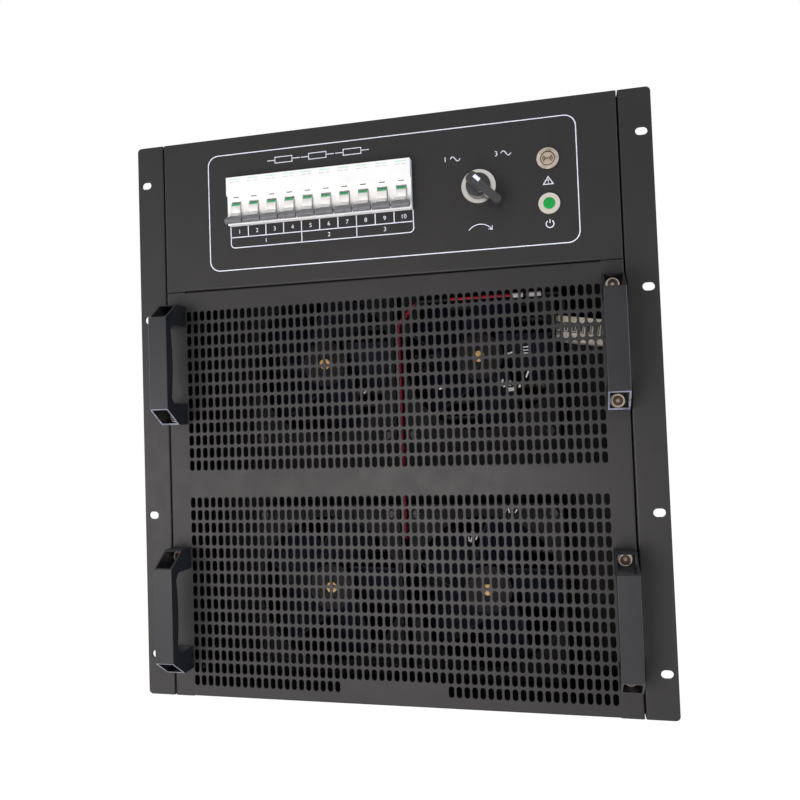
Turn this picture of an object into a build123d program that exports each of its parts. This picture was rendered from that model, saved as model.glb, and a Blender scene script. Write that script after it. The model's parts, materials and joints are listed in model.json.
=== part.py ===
from build123d import *
import os

os.makedirs("parts", exist_ok=True)

# ---------------------------------------------------------------- driving sizes (mm)
PANEL_W = 482.6            # 19-inch rack panel width
UNIT = 44.45               # one rack unit
PANEL_H = 12 * UNIT - 0.8  # 12U panel height
T = 2.0                    # sheet thickness
DEPTH = 580.0              # panel front to rear panel outer face
HANDLE_OUT = 41.6          # handle height above the panel
GLAND_OUT = 36.0           # cable gland beyond the rear panel
SEAM_X = PANEL_W / 2 - 27.3      # half distance between the two vertical seams
SEAM_GAP = 0.7             # visible gap at a seam
SEAM_Z = PANEL_H - 146.0   # seam between control panel and grille panel
RETURN = 14.0              # folded return behind each front panel
BEND = 1.6                 # outer bend radius

TOTAL = HANDLE_OUT + DEPTH + GLAND_OUT
PF = -TOTAL / 2 + HANDLE_OUT     # Y of the panel front
PR = PF + DEPTH                  # Y of the rear panel outer face
WALL = SEAM_X + 0.3              # inner face of a side wall (half width)

# rack slots
SLOT_X = PANEL_W / 2 - 8.75
SLOT_OUTER = 457.2 / 2
SLOT_INNER = 190.5 / 2
SLOT_L, SLOT_D = 10.0, 7.0

# grille
GR_PITCH, GR_W = 6.94, 4.7
GR_COLS = int((2 * SEAM_X - 38.8) / GR_PITCH)
GR_ROW = 12.0
UP_Z, UP_ROWS = PANEL_H - 170.2, 13
LO_Z, LO_ROWS = PANEL_H - 349.7, 15
GR_SLOT_H = 9.8
BARE_COLS = 14             # middle columns missing in the lowest row

# handles
HX = PANEL_W / 2 - 38.3
HANDLE_ZS = {"upper": PANEL_H - 217.4, "lower": PANEL_H - 448.8}
H_W, H_LEN, H_PLATE, H_END = 18.0, 114.2, 84.7, 18.5
H_T = 1.5
H_PITCH = 98.8
GRIP_END, GRIP_MID, WINDOW = 9.2, 12.0, 74.4
M6 = 6.0

# breakers
N_BRK, BRK_P = 10, 17.78
BRK_X0 = -0.1152 * PANEL_W - N_BRK * BRK_P / 2
BRK_Z = PANEL_H - 63.9
NOSE_OUT, NOSE_H, NOSE_STEP = 9.2, 45.0, 3.0
NF = PF - NOSE_OUT
PIV_Z = PANEL_H - 72.5
PIV_Y = NF + NOSE_STEP + 4.2
BARREL_R, BARREL_W = 7.5, 9.0
TRUN_R = 1.5
RAIL_Y = NF + 60.5

# controls
SEL = (0.1935 * PANEL_W, PANEL_H - 72.0)
BUZ = (0.3191 * PANEL_W, PANEL_H - 53.6)
LMP = (0.3187 * PANEL_W, PANEL_H - 93.1)
SHAFT_R, FIT = 5.0, 0.05

# fans
FAN_W, FAN_H, FAN_D = 150.0, 168.0, 51.0
FAN_X = FAN_W / 2 + 4
FAN_LOW = FAN_H / 2 + 4
FAN_ZS = [FAN_LOW + FAN_H + 59.8, FAN_LOW]
FAN_Y = PF + 75.0
PLATE_Y = FAN_Y + FAN_D
BORE_R = FAN_W / 2 - 2.5
TIP_R, HUB_R, AXLE_R = BORE_R - 2.0, 23.0, 4.0

# heaters
HEAT_Y0, HEAT_DY = PF + 190.0, 80.0
RACK_X = WALL - 18.3
RACK_Y0, RACK_Y1, RACK_H = PF + 160, PF + 400, 370.0
HEATER_RS = [7.0, 9.0, 11.0]     # small, medium and large load step of a phase

# wiring
HARNESS_X, HARNESS_LOW = 1.2, 140.0
FAN_EDGE = FAN_X + FAN_W / 2
TERM_HALF = (WALL - FAN_EDGE - 6.3) / 2
TERM = (FAN_EDGE + 3 + TERM_HALF, FAN_Y + 6.0, FAN_ZS[0] + 18.8)
TERM_TILT, WAY = 9.0, 7.0

# rear panel
LOUVRE_ROWS, LOUVRE_PITCH, LOUVRE_Z = 13, 25.0, 150.0
LOUVRE_W, LOUVRE_H, LOUVRE_OUT = 118.0, 9.0, 10.0
GLAND, GLAND_R, CABLE_R = (0.0, 70.0), 20.0, 14.0
EARTH, EARTH_R, M8_NUT = (44.3 - WALL, 60.0), 4.0, 13.0


# ---------------------------------------------------------------- small helpers
def box(x0, x1, y0, y1, z0, z1):
    c = ((x0 + x1) / 2, (y0 + y1) / 2, (z0 + z1) / 2)
    return Pos(*c) * Box(abs(x1 - x0), abs(y1 - y0), abs(z1 - z0))


def cyl_y(x, z, r, y0, y1):
    return Pos(x, (y0 + y1) / 2, z) * Rot(90, 0, 0) * Cylinder(r, abs(y1 - y0))


def cyl_x(y, z, r, x0, x1):
    return Pos((x0 + x1) / 2, y, z) * Rot(0, 90, 0) * Cylinder(r, abs(x1 - x0))


def hex_y(x, z, af, y0, y1):
    prism = extrude(RegularPolygon(af / 3 ** 0.5, 6), abs(y1 - y0))
    return Pos(x, y1, z) * Rot(90, 0, 0) * prism


def hex_x(y, z, af, x0, x1):
    prism = extrude(RegularPolygon(af / 3 ** 0.5, 6), abs(x1 - x0))
    return Pos(min(x0, x1), y, z) * Rot(0, 90, 0) * prism


def save(name, shape):
    pieces = shape if isinstance(shape, list) else [shape]
    solids = [solid for piece in pieces for solid in piece.solids()]
    out = solids[0] if len(solids) == 1 else Compound(children=solids)
    out.label = name
    export_step(out, "parts/" + name + ".step")


def round_front_edges(solid, x, y, r):
    edges = [e for e in solid.edges().filter_by(Axis.Z)
             if abs(e.center().X - x) < 0.01 and abs(e.center().Y - y) < 0.01]
    return fillet(edges, r)


# ---------------------------------------------------------------- shell
def side_panel(s):
    x_in = s * WALL
    ear = box(s * PANEL_W / 2, x_in, PF, PF + T, 0, PANEL_H)
    corner = [e for e in ear.edges().filter_by(Axis.Y) if abs(abs(e.center().X) - PANEL_W / 2) < 0.01]
    ear = fillet(corner, 4.0)
    wall = box(x_in, x_in + s * T, PF, PR, 0, PANEL_H)
    body = ear + wall
    body = round_front_edges(body, x_in, PF, BEND)
    mid = PANEL_H / 2
    for dz in (-SLOT_OUTER, -SLOT_INNER, SLOT_INNER, SLOT_OUTER):
        slot = extrude(SlotOverall(SLOT_L, SLOT_D), 3 * T)
        body -= Pos(s * SLOT_X, PF + 2 * T, mid + dz) * Rot(90, 0, 0) * slot
    for y, z in cover_screw_spots():
        body -= cyl_x(y, z, 2.0 + FIT, x_in - s * T, x_in + s * 2 * T)
    return body


def cover_screw_spots():
    ys = [PF + 60, PF + DEPTH / 2, PR - 60]
    return [(y, z) for y in ys for z in (T + 8.0, PANEL_H - T - 8.0)]


def cover_screws():
    out = []
    for s in (-1, 1):
        for y, z in cover_screw_spots():
            x = s * WALL
            head = hex_x(y, z, 7.0, x + s * T, x + s * (T + 2.8))
            out.append(head + hex_x(y, z, 3.4, x + s * T, x - s * 6))
    return out


def cover(z_out, z_in, up):
    y0, y1 = PF + RETURN + 0.5, PR - T
    plate = box(-WALL, WALL, y0, y1, z_out, z_in)
    for s in (-1, 1):
        x = s * WALL
        plate += box(x, x - s * T, y0, y1, z_in, z_in + up * 14)
        for y, z in cover_screw_spots():
            if abs(z - z_out) < 20:
                plate -= cyl_x(y, z, 2.0 + FIT, x + s, x - s * 2 * T)
    return plate


def louvre(x, z):
    """A hood over a slot, open downwards, with closed ends."""
    top, out, sheet = z + LOUVRE_H + 2.5, PR + LOUVRE_OUT, 1.5
    outline = [(PR - 0.5, top), (PR + 2, top), (out, z + 4), (out, z - 1), (PR - 0.5, z - 1)]
    across = Plane(origin=(x, 0, 0), x_dir=(0, 1, 0), z_dir=(1, 0, 0))
    hood = extrude(across * make_face(Polyline(*outline, close=True)), LOUVRE_W / 2 + sheet, both=True)
    hollow = [(PR - 1, z + LOUVRE_H), (PR + 1, z + LOUVRE_H), (out - sheet, z + 3.4),
              (out - sheet, z - 2), (PR - 1, z - 2)]
    return hood - extrude(across * make_face(Polyline(*hollow, close=True)), LOUVRE_W / 2, both=True)


def rear_panel():
    p = box(-WALL, WALL, PR - T, PR, 0, PANEL_H)
    for s in (-1, 1):
        p += box(s * WALL, s * (WALL - T), PR - 14, PR - T, 18, PANEL_H - 18)
    step = (2 * WALL - 40) / 3
    spots = [(i * step, LOUVRE_Z + k * LOUVRE_PITCH) for i in (-1, 0, 1) for k in range(LOUVRE_ROWS)]
    p = p - [box(x - LOUVRE_W / 2, x + LOUVRE_W / 2, PR - 2 * T, PR + T, z, z + LOUVRE_H) for x, z in spots]
    p = p + [louvre(x, z) for x, z in spots]
    p -= cyl_y(*GLAND, GLAND_R, PR - 2 * T, PR + T)
    return p - cyl_y(*EARTH, EARTH_R + FIT, PR - 2 * T, PR + T)


def folded_front(z0, z1):
    x = SEAM_X - SEAM_GAP
    p = box(-x, x, PF, PF + T, z0, z1)
    p = round_front_edges(p + box(-x, -x + T, PF, PF + RETURN, z0, z1)
                          + box(x - T, x, PF, PF + RETURN, z0, z1), -x, PF, BEND)
    p = round_front_edges(p, x, PF, BEND)
    for z, d in ((z0, 1), (z1, -1)):
        at_seam = 0 < z < PANEL_H           # the returns are notched only at the seam
        w = x - 20 if at_seam else x
        p += box(-w, w, PF + T / 2, PF + RETURN, z, z + d * T)
        if at_seam:
            bend = box(-w, w, PF - 1, PF + BEND, z - d, z + d * BEND)
            p -= bend - cyl_x(PF + BEND, z + d * BEND, BEND, -w - 1, w + 1)
    return p


def control_panel():
    p = folded_front(SEAM_Z + SEAM_GAP / 2, PANEL_H)
    x0 = BRK_X0 - 0.3
    p -= box(x0, x0 + N_BRK * BRK_P + 0.6, PF - 1, PF + 2 * T, BRK_Z - 22.75, BRK_Z + 22.75)
    p -= cyl_y(SEL[0], SEL[1], 11.15, PF - 1, PF + 2 * T)
    for c in (BUZ, LMP):
        p -= cyl_y(c[0], c[1], 8.15, PF - 1, PF + 2 * T)
    return p


def grille_cuts():
    cuts = []
    x0 = -(GR_COLS - 1) / 2 * GR_PITCH
    half = GR_SLOT_H / 2
    for c in range(GR_COLS):
        x = x0 + c * GR_PITCH
        middle = abs(c - (GR_COLS - 1) / 2) < BARE_COLS / 2
        groups = [(UP_Z, 0, 6), (UP_Z, 7, UP_ROWS - 1), (LO_Z, 0, 7),
                  (LO_Z, 8, LO_ROWS - (2 if middle else 1))]
        for z, a, b in groups:
            cuts.append(box(x - GR_W / 2, x + GR_W / 2, PF - 1, PF + 2 * T,
                            z - b * GR_ROW - half, z - a * GR_ROW + half))
    return cuts


def grille_panel():
    p = folded_front(0, SEAM_Z - SEAM_GAP / 2)
    for x, z in handle_bolts():
        p += cyl_y(x, z, 5.5, PF + T, PF + T + 6)
        p -= cyl_y(x, z, M6 / 2 + FIT, PF - 1, PF + T + 7)
    return p - grille_cuts()


# ---------------------------------------------------------------- handles
def handle_bolts():
    return [(s * HX, z + k * H_PITCH / 2)
            for s in (-1, 1) for z in HANDLE_ZS.values() for k in (-1, 1)]


def handle(sx, zc):
    half, plate = H_LEN / 2, H_PLATE / 2
    side = make_face(Polyline((-half, 0), (-half, H_END), (-plate, HANDLE_OUT), (plate, HANDLE_OUT),
                              (half, H_END), (half, 0), close=True))
    body = extrude(side, H_W / 2, both=True)
    front = [e for e in body.edges().filter_by(Axis.X) if e.center().Y > HANDLE_OUT - 0.01]
    body = fillet(front, 0.8)
    cavity = Pos(0, HANDLE_OUT / 2, 0) * Box(H_LEN - 2 * H_T, HANDLE_OUT - 2 * H_T, H_W - 2 * H_T)
    w, top, mid, r = WINDOW / 2, HANDLE_OUT - GRIP_END, HANDLE_OUT - GRIP_MID, 5
    arch = [Line((-w, -1), (-w, top - r)), Line((-w, top - r), (r - w, top)),
            ThreePointArc((r - w, top), (0, mid), (w - r, top)),
            Line((w - r, top), (w, top - r)), Line((w, top - r), (w, -1)), Line((w, -1), (-w, -1))]
    body = body - cavity - extrude(make_face(arch), H_W, both=True)
    # drawn with x up the panel, y outwards and z across it
    body = Plane(origin=(sx * HX, PF, zc), x_dir=(0, 0, 1), z_dir=(1, 0, 0)).location * body
    for x, z in handle_bolts():
        if abs(x - sx * HX) < 1 and abs(z - zc) < H_LEN / 2:
            body -= cyl_y(x, z, M6 / 2 + 0.2, PF - 2 * H_T, PF + 1)
    return body


def handle_washer(x, z):
    y = PF - H_T
    return cyl_y(x, z, 6.0, y - 1.2, y) - cyl_y(x, z, M6 / 2 + 0.2, y - 2, y + 1)


def handle_screw(x, z):
    y = PF - H_T - 1.2
    head = cyl_y(x, z, 5.0, y - 6.0, y) - hex_y(x, z, 5.0, y - 7.0, y - 3.0)
    return head + cyl_y(x, z, M6 / 2, y, PF + T + 8)


# ---------------------------------------------------------------- breakers
def breaker_x(i):
    return BRK_X0 + (i + 0.5) * BRK_P


def breaker_case(i):
    x, w = breaker_x(i), BRK_P / 2
    step_z = PANEL_H - 59.0
    c = box(x - w, x + w, NF, NF + 20, step_z, BRK_Z + NOSE_H / 2)
    c += box(x - w, x + w, NF + NOSE_STEP, NF + 20, BRK_Z - NOSE_H / 2, step_z)
    c += box(x - w, x + w, NF + 18, NF + 68, BRK_Z - 40.5, BRK_Z + 40.5)
    c -= box(x - w - 1, x + w + 1, RAIL_Y, NF + 69, BRK_Z - 17.6, BRK_Z + 17.6)
    c -= box(x - 4.9, x + 4.9, NF - 1, PIV_Y + BARREL_R + 0.6, PIV_Z - 8.7, PIV_Z + 8.1)
    c -= cyl_x(PIV_Y, PIV_Z, TRUN_R + FIT, x - 7.7, x + 7.7)
    for s in (-1, 1):   # terminal screw pockets on the shoulders
        z = BRK_Z + s * 31
        c -= box(x - 3.5, x + 3.5, NF + 17, NF + 22, z - 3.5, z + 3.5)
    return c


def breaker_toggle(i):
    x = breaker_x(i)
    t = cyl_x(PIV_Y, PIV_Z, BARREL_R, x - BARREL_W / 2, x + BARREL_W / 2)
    t += cyl_x(PIV_Y, PIV_Z, TRUN_R, x - 7.4, x + 7.4)
    # lever built pointing straight out, then laid down to the OFF side
    neck = box(x - BARREL_W / 2, x + BARREL_W / 2, PIV_Y - 14, PIV_Y, PIV_Z - 2.5, PIV_Z + 2.5)
    bar = box(x - 8.25, x + 8.25, PIV_Y - 19, PIV_Y - 13.2, PIV_Z - 2.4, PIV_Z + 2.4)
    tips = [e for e in bar.edges().filter_by(Axis.X) if e.center().Y < PIV_Y - 18.9]
    bar = fillet(tips, 1.5)
    lever = (neck + bar).rotate(Axis((x, PIV_Y, PIV_Z), (1, 0, 0)), 45)
    return t + lever


def din_rail():
    r = box(-WALL, WALL, RAIL_Y + 6.5, RAIL_Y + 7.5, BRK_Z - 13.5, BRK_Z + 13.5)
    for s in (-1, 1):
        r += box(-WALL, WALL, RAIL_Y, RAIL_Y + 7.5, BRK_Z + s * 12.5, BRK_Z + s * 13.5)
        r += box(-WALL, WALL, RAIL_Y, RAIL_Y + 1, BRK_Z + s * 12.5, BRK_Z + s * 17.5)
    return r


# ---------------------------------------------------------------- controls
def selector_bezel():
    x, z = SEL
    b = cyl_y(x, z, 15.15, PF - 3.2, PF) + cyl_y(x, z, 11.0, PF, PF + 20)
    b -= cyl_y(x, z, 11.1, PF - 4, PF - 1.4)
    return b - cyl_y(x, z, SHAFT_R + FIT, PF - 4, PF + 21)


def selector_knob():
    x, z = SEL
    disc = cyl_y(x, z, 10.8, PF - 8.5, PF - 1.7) + cyl_y(x, z, SHAFT_R, PF - 2, PF + 34)
    head = box(x - 5.4, x + 5.4, PF - 18, PF - 8, z - 9, z + 10.5)
    head = fillet(head.edges().filter_by(Axis.Y), 4.0)
    lever = box(x - 3.6, x + 3.6, PF - 20, PF - 8, z - 27.5, z + 4)
    lever = fillet(lever.edges().filter_by(Axis.Y), 3.0)
    return disc + (head + lever).rotate(Axis((x, 0, z), (0, 1, 0)), -45)


def selector_block():
    x, z = SEL
    b = box(x - 15, x + 15, PF + 20, PF + 46, z - 15, z + 15)
    return b - cyl_y(x, z, SHAFT_R + FIT, PF + 19, PF + 36)


def locknuts():
    out = [cyl_y(SEL[0], SEL[1], 14.5, PF + T, PF + T + 5) - cyl_y(SEL[0], SEL[1], 11.0, PF, PF + 20)]
    for c in (BUZ, LMP):
        out.append(hex_y(c[0], c[1], 20.0, PF + T, PF + T + 4)
                   - cyl_y(c[0], c[1], 8.0, PF, PF + 20))
    return out


def fault_buzzer():
    x, z = BUZ
    b = cyl_y(x, z, 9.45, PF - 3.4, PF) - cyl_y(x, z, 6.4, PF - 4, PF - 2.6)
    return b + cyl_y(x, z, 8.0, PF, PF + 26)


def lamp_bezel():
    x, z = LMP
    b = cyl_y(x, z, 9.2, PF - 2.8, PF) + cyl_y(x, z, 8.0, PF, PF + 26)
    return b - cyl_y(x, z, 5.1, PF - 4, PF + 8)


def lamp_lens():
    x, z = LMP
    d = cyl_y(x, z, 5.1, PF - 4.0, PF + 8)
    edge = [e for e in d.edges().filter_by(GeomType.CIRCLE) if e.center().Y < PF - 3.9]
    return chamfer(edge, 0.8)


# ---------------------------------------------------------------- fans
def fan_centres():
    return [(s * FAN_X, z) for z in FAN_ZS for s in (-1, 1)]


def fan_frame(x, z):
    f = box(x - FAN_W / 2, x + FAN_W / 2, FAN_Y, PLATE_Y, z - FAN_H / 2, z + FAN_H / 2)
    f -= cyl_y(x, z, BORE_R, FAN_Y - 1, PLATE_Y + 1)
    f += box(x - BORE_R - 1, x + BORE_R + 1, PLATE_Y - 5, PLATE_Y, z - 5, z + 5)
    f += box(x - 5, x + 5, PLATE_Y - 5, PLATE_Y, z - BORE_R - 1, z + BORE_R + 1)
    f += cyl_y(x, z, HUB_R, PLATE_Y - 12, PLATE_Y)
    f += cyl_y(x, z, AXLE_R, FAN_Y + 12, PLATE_Y)
    for cx, cz in fan_corner(x, z):
        f -= cyl_y(cx, cz, 2.2, FAN_Y - 1, PLATE_Y + 1)
    return f


def fan_corner(x, z):
    dx, dz = FAN_W / 2 - 9, FAN_H / 2 - 9
    return [(x + i * dx, z + j * dz) for i in (-1, 1) for j in (-1, 1)]


def fan_impeller(x, z):
    y0, y1 = FAN_Y + 8, PLATE_Y - 13
    hub = cyl_y(x, z, HUB_R, y0, y1) - cyl_y(x, z, AXLE_R + FIT, y0 + 3, y1 + 1)
    ring = cyl_y(x, z, TIP_R, y0 + 1, y1 - 1) - cyl_y(x, z, HUB_R - 1, y0, y1)
    yc = (y0 + y1) / 2
    for k in range(5):
        blade = Pos(x, yc, z + 48) * Rot(0, 0, 32) * Box(52, 2.2, 60)
        hub += blade.rotate(Axis((x, 0, z), (0, 1, 0)), 72 * k + 20) & ring
    return hub


def fan_plate():
    p = box(-WALL, WALL, PLATE_Y, PLATE_Y + T, T, PANEL_H - T)
    for s in (-1, 1):   # notched round the cover and tray flanges
        for z in (T, PANEL_H - T):
            p -= box(s * (WALL + 1), s * (WALL - T - 0.3), PLATE_Y - 1, PLATE_Y + 2 * T, z - 15, z + 15)
    for x, z in fan_centres():
        p -= cyl_y(x, z, BORE_R, PLATE_Y - 1, PLATE_Y + 2 * T)
        for cx, cz in fan_corner(x, z):
            p -= cyl_y(cx, cz, 2.0 + FIT, PLATE_Y - 1, PLATE_Y + 2 * T)
    p -= cyl_y(HARNESS_X, HARNESS_LOW, 4.0, PLATE_Y - 1, PLATE_Y + 2 * T)
    return p


def fan_screw(x, z):
    return hex_y(x, z, 7.0, FAN_Y - 2.8, FAN_Y) + hex_y(x, z, 3.4, FAN_Y, PLATE_Y + T + 4)


# ---------------------------------------------------------------- heaters
def heater_spots(phase):
    y = HEAT_Y0 + phase * HEAT_DY
    stagger = 26.0 * (phase % 2)
    return [(y, 70.0 + stagger + 110.0 * k, r) for k, r in enumerate(HEATER_RS)]


def heater(y, z, r):
    e = cyl_x(y, z, r, -RACK_X + 6, RACK_X - 6)
    for s in (-1, 1):
        e += box(s * (RACK_X - 8), s * (RACK_X + 8), y - 8, y + 8, z - 8, z + 8)
    return e


def heater_racks():
    out = []
    for s in (-1, 1):
        p = box(s * RACK_X, s * (RACK_X + T), RACK_Y0, RACK_Y1, T, RACK_H)
        p += box(s * RACK_X, s * (RACK_X + 14), RACK_Y0, RACK_Y1, T, 2 * T)
        for phase in range(3):
            for y, z, r in heater_spots(phase):
                p -= box(s * (RACK_X - 1), s * (RACK_X + 2 * T), y - 8, y + 8, z - 8, z + 8)
        out.append(p)
    return out


def contactors():
    out = []
    for k in (-1, 0, 1):
        x, y, z = k * 62.0, PLATE_Y + T, 462.0
        c = box(x - 22.5, x + 22.5, y, y + 50, z - 38, z + 38)
        c += box(x - 22.5, x + 22.5, y + 50, y + 80, z - 22, z + 22)
        out.append(c)
    return out


# ---------------------------------------------------------------- wiring


def terminal_block():
    x, y, z = TERM
    b = box(x - TERM_HALF, x + TERM_HALF, y, y + 20, z - 12, z + 12)
    ways = int((2 * TERM_HALF - 5) / WAY)
    for i in range(ways):
        px = x + (i - (ways - 1) / 2) * WAY
        b -= box(px - 2.4, px + 2.4, y - 1, y + 5, z - 3.5, z + 3.5)
    return b.rotate(Axis((x, 0, z), (0, 1, 0)), TERM_TILT)


def terminal_bracket():
    x, y, z = TERM
    plate = box(x - TERM_HALF, WALL, y + 20, y + 22, z - 20, z + 20)
    return plate + box(WALL - T, WALL, y + 20, y + 45, z - 20, z + 20)


def wire_harness():
    y, z = FAN_Y - 3.4, FAN_ZS[0] + 56.3
    tx = TERM[0] + 5 - TERM_HALF
    trunk = FilletPolyline((HARNESS_X, PLATE_Y + 10, HARNESS_LOW), (HARNESS_X, y, HARNESS_LOW),
                           (HARNESS_X, y, z - 22), (HARNESS_X + 20, y, z),
                           (tx, y, z), (tx, y, TERM[2] + 17), radius=7)
    ring = Plane(origin=(HARNESS_X, PLATE_Y + 10, HARNESS_LOW), z_dir=(0, -1, 0)) * Circle(2.4)
    return sweep(ring, path=trunk)


def cable_ties():
    y, out = FAN_Y - 3.4, []
    for z in (185.0, 245.0, 300.0):
        ring = Pos(HARNESS_X, y, z) * (Cylinder(3.4, 4) - Cylinder(2.4, 5))
        out.append(ring)
    return out


# ---------------------------------------------------------------- rear fittings

def cable_gland():
    x, z = GLAND
    g = hex_y(x, z, 50.0, PR, PR + 8) + cyl_y(x, z, GLAND_R, PR - 14, PR)
    g += hex_y(x, z, 46.0, PR + 8, PR + 24)
    g += cyl_y(x, z, GLAND_R, PR + 24, PR + GLAND_OUT)
    g += cyl_y(x, z, GLAND_R + 7, PR - T - 6, PR - T)
    return g - cyl_y(x, z, CABLE_R, PR - 20, PR + GLAND_OUT + 1)


def earth_stud():
    x, z = EARTH
    stud = cyl_y(x, z, EARTH_R, PR - 12, PR + 20)
    return stud + hex_y(x, z, M8_NUT, PR, PR + 6) + hex_y(x, z, M8_NUT, PR - T - 6, PR - T)


# ---------------------------------------------------------------- export
save("side_panel_left", side_panel(-1))
save("side_panel_right", side_panel(1))
save("top_cover", cover(PANEL_H, PANEL_H - T, -1))
save("base_tray", cover(0, T, 1))
save("rear_panel", rear_panel())
save("control_panel", control_panel())
save("grille_panel", grille_panel())
for level, zc in HANDLE_ZS.items():
    save("handle_" + level + "_left", handle(-1, zc))
    save("handle_" + level + "_right", handle(1, zc))
save("handle_screws", [handle_screw(x, z) for x, z in handle_bolts()])
save("handle_washers", [handle_washer(x, z) for x, z in handle_bolts()])
for i in range(N_BRK):
    save("breaker_case_%02d" % (i + 1), breaker_case(i))
    save("breaker_toggle_%02d" % (i + 1), breaker_toggle(i))
save("din_rail", din_rail())
save("selector_bezel", selector_bezel())
save("selector_knob", selector_knob())
save("selector_contact_block", selector_block())
save("control_locknuts", locknuts())
save("fault_buzzer", fault_buzzer())
save("power_lamp_bezel", lamp_bezel())
save("power_lamp_lens", lamp_lens())
save("fan_plate", fan_plate())
save("fan_frames", [fan_frame(x, z) for x, z in fan_centres()])
for k, (x, z) in enumerate(fan_centres()):
    save("fan_impeller_%d" % (k + 1), fan_impeller(x, z))
save("fan_screws", [fan_screw(cx, cz) for x, z in fan_centres() for cx, cz in fan_corner(x, z)])
for phase in range(3):
    save("heater_phase_%d" % (phase + 1), [heater(*h) for h in heater_spots(phase)])
save("heater_racks", heater_racks())
save("contactors", contactors())
save("terminal_block", terminal_block())
save("terminal_bracket", terminal_bracket())
save("wire_harness", wire_harness())
save("cable_ties", cable_ties())
save("cable_gland", cable_gland())
save("earth_stud", earth_stud())
save("cover_screws", cover_screws())
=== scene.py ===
import bpy
import json
import math
from mathutils import Matrix, Vector


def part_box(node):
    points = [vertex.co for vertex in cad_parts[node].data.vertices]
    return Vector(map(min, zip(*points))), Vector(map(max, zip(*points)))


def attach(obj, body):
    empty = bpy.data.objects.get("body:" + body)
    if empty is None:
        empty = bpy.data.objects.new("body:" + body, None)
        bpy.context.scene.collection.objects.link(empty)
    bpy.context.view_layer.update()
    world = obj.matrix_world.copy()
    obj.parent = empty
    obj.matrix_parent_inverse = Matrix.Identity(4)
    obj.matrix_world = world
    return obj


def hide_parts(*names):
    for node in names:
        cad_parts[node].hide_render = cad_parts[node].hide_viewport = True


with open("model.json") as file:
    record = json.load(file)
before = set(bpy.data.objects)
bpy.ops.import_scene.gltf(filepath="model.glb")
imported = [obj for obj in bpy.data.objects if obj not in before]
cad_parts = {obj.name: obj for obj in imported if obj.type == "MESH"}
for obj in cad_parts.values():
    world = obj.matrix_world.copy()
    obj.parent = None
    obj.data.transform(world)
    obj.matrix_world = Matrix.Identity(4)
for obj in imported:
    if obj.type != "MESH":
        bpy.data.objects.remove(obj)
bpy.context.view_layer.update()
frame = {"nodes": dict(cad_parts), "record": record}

MM = 0.001
NODES = frame["nodes"]
RECORD = frame["record"]
JOINTS = {j["name"]: j for j in RECORD["behaviour"]["joints"]}

# ------------------------------------------------------------------ places read from the frame
PANEL_LO, PANEL_HI = (Vector(v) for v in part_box("grille_panel"))
FACE_Y = PANEL_LO.y                                    # front face of the panels
TOP_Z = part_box("control_panel")[1][2]


def across(x_mm):
    """X of a place given in mm from the panel's left edge."""
    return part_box("side_panel_left")[0][0] + x_mm * MM


def down(y_mm):
    """Z of a place given in mm below the panel's top edge."""
    return TOP_Z - y_mm * MM


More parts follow.
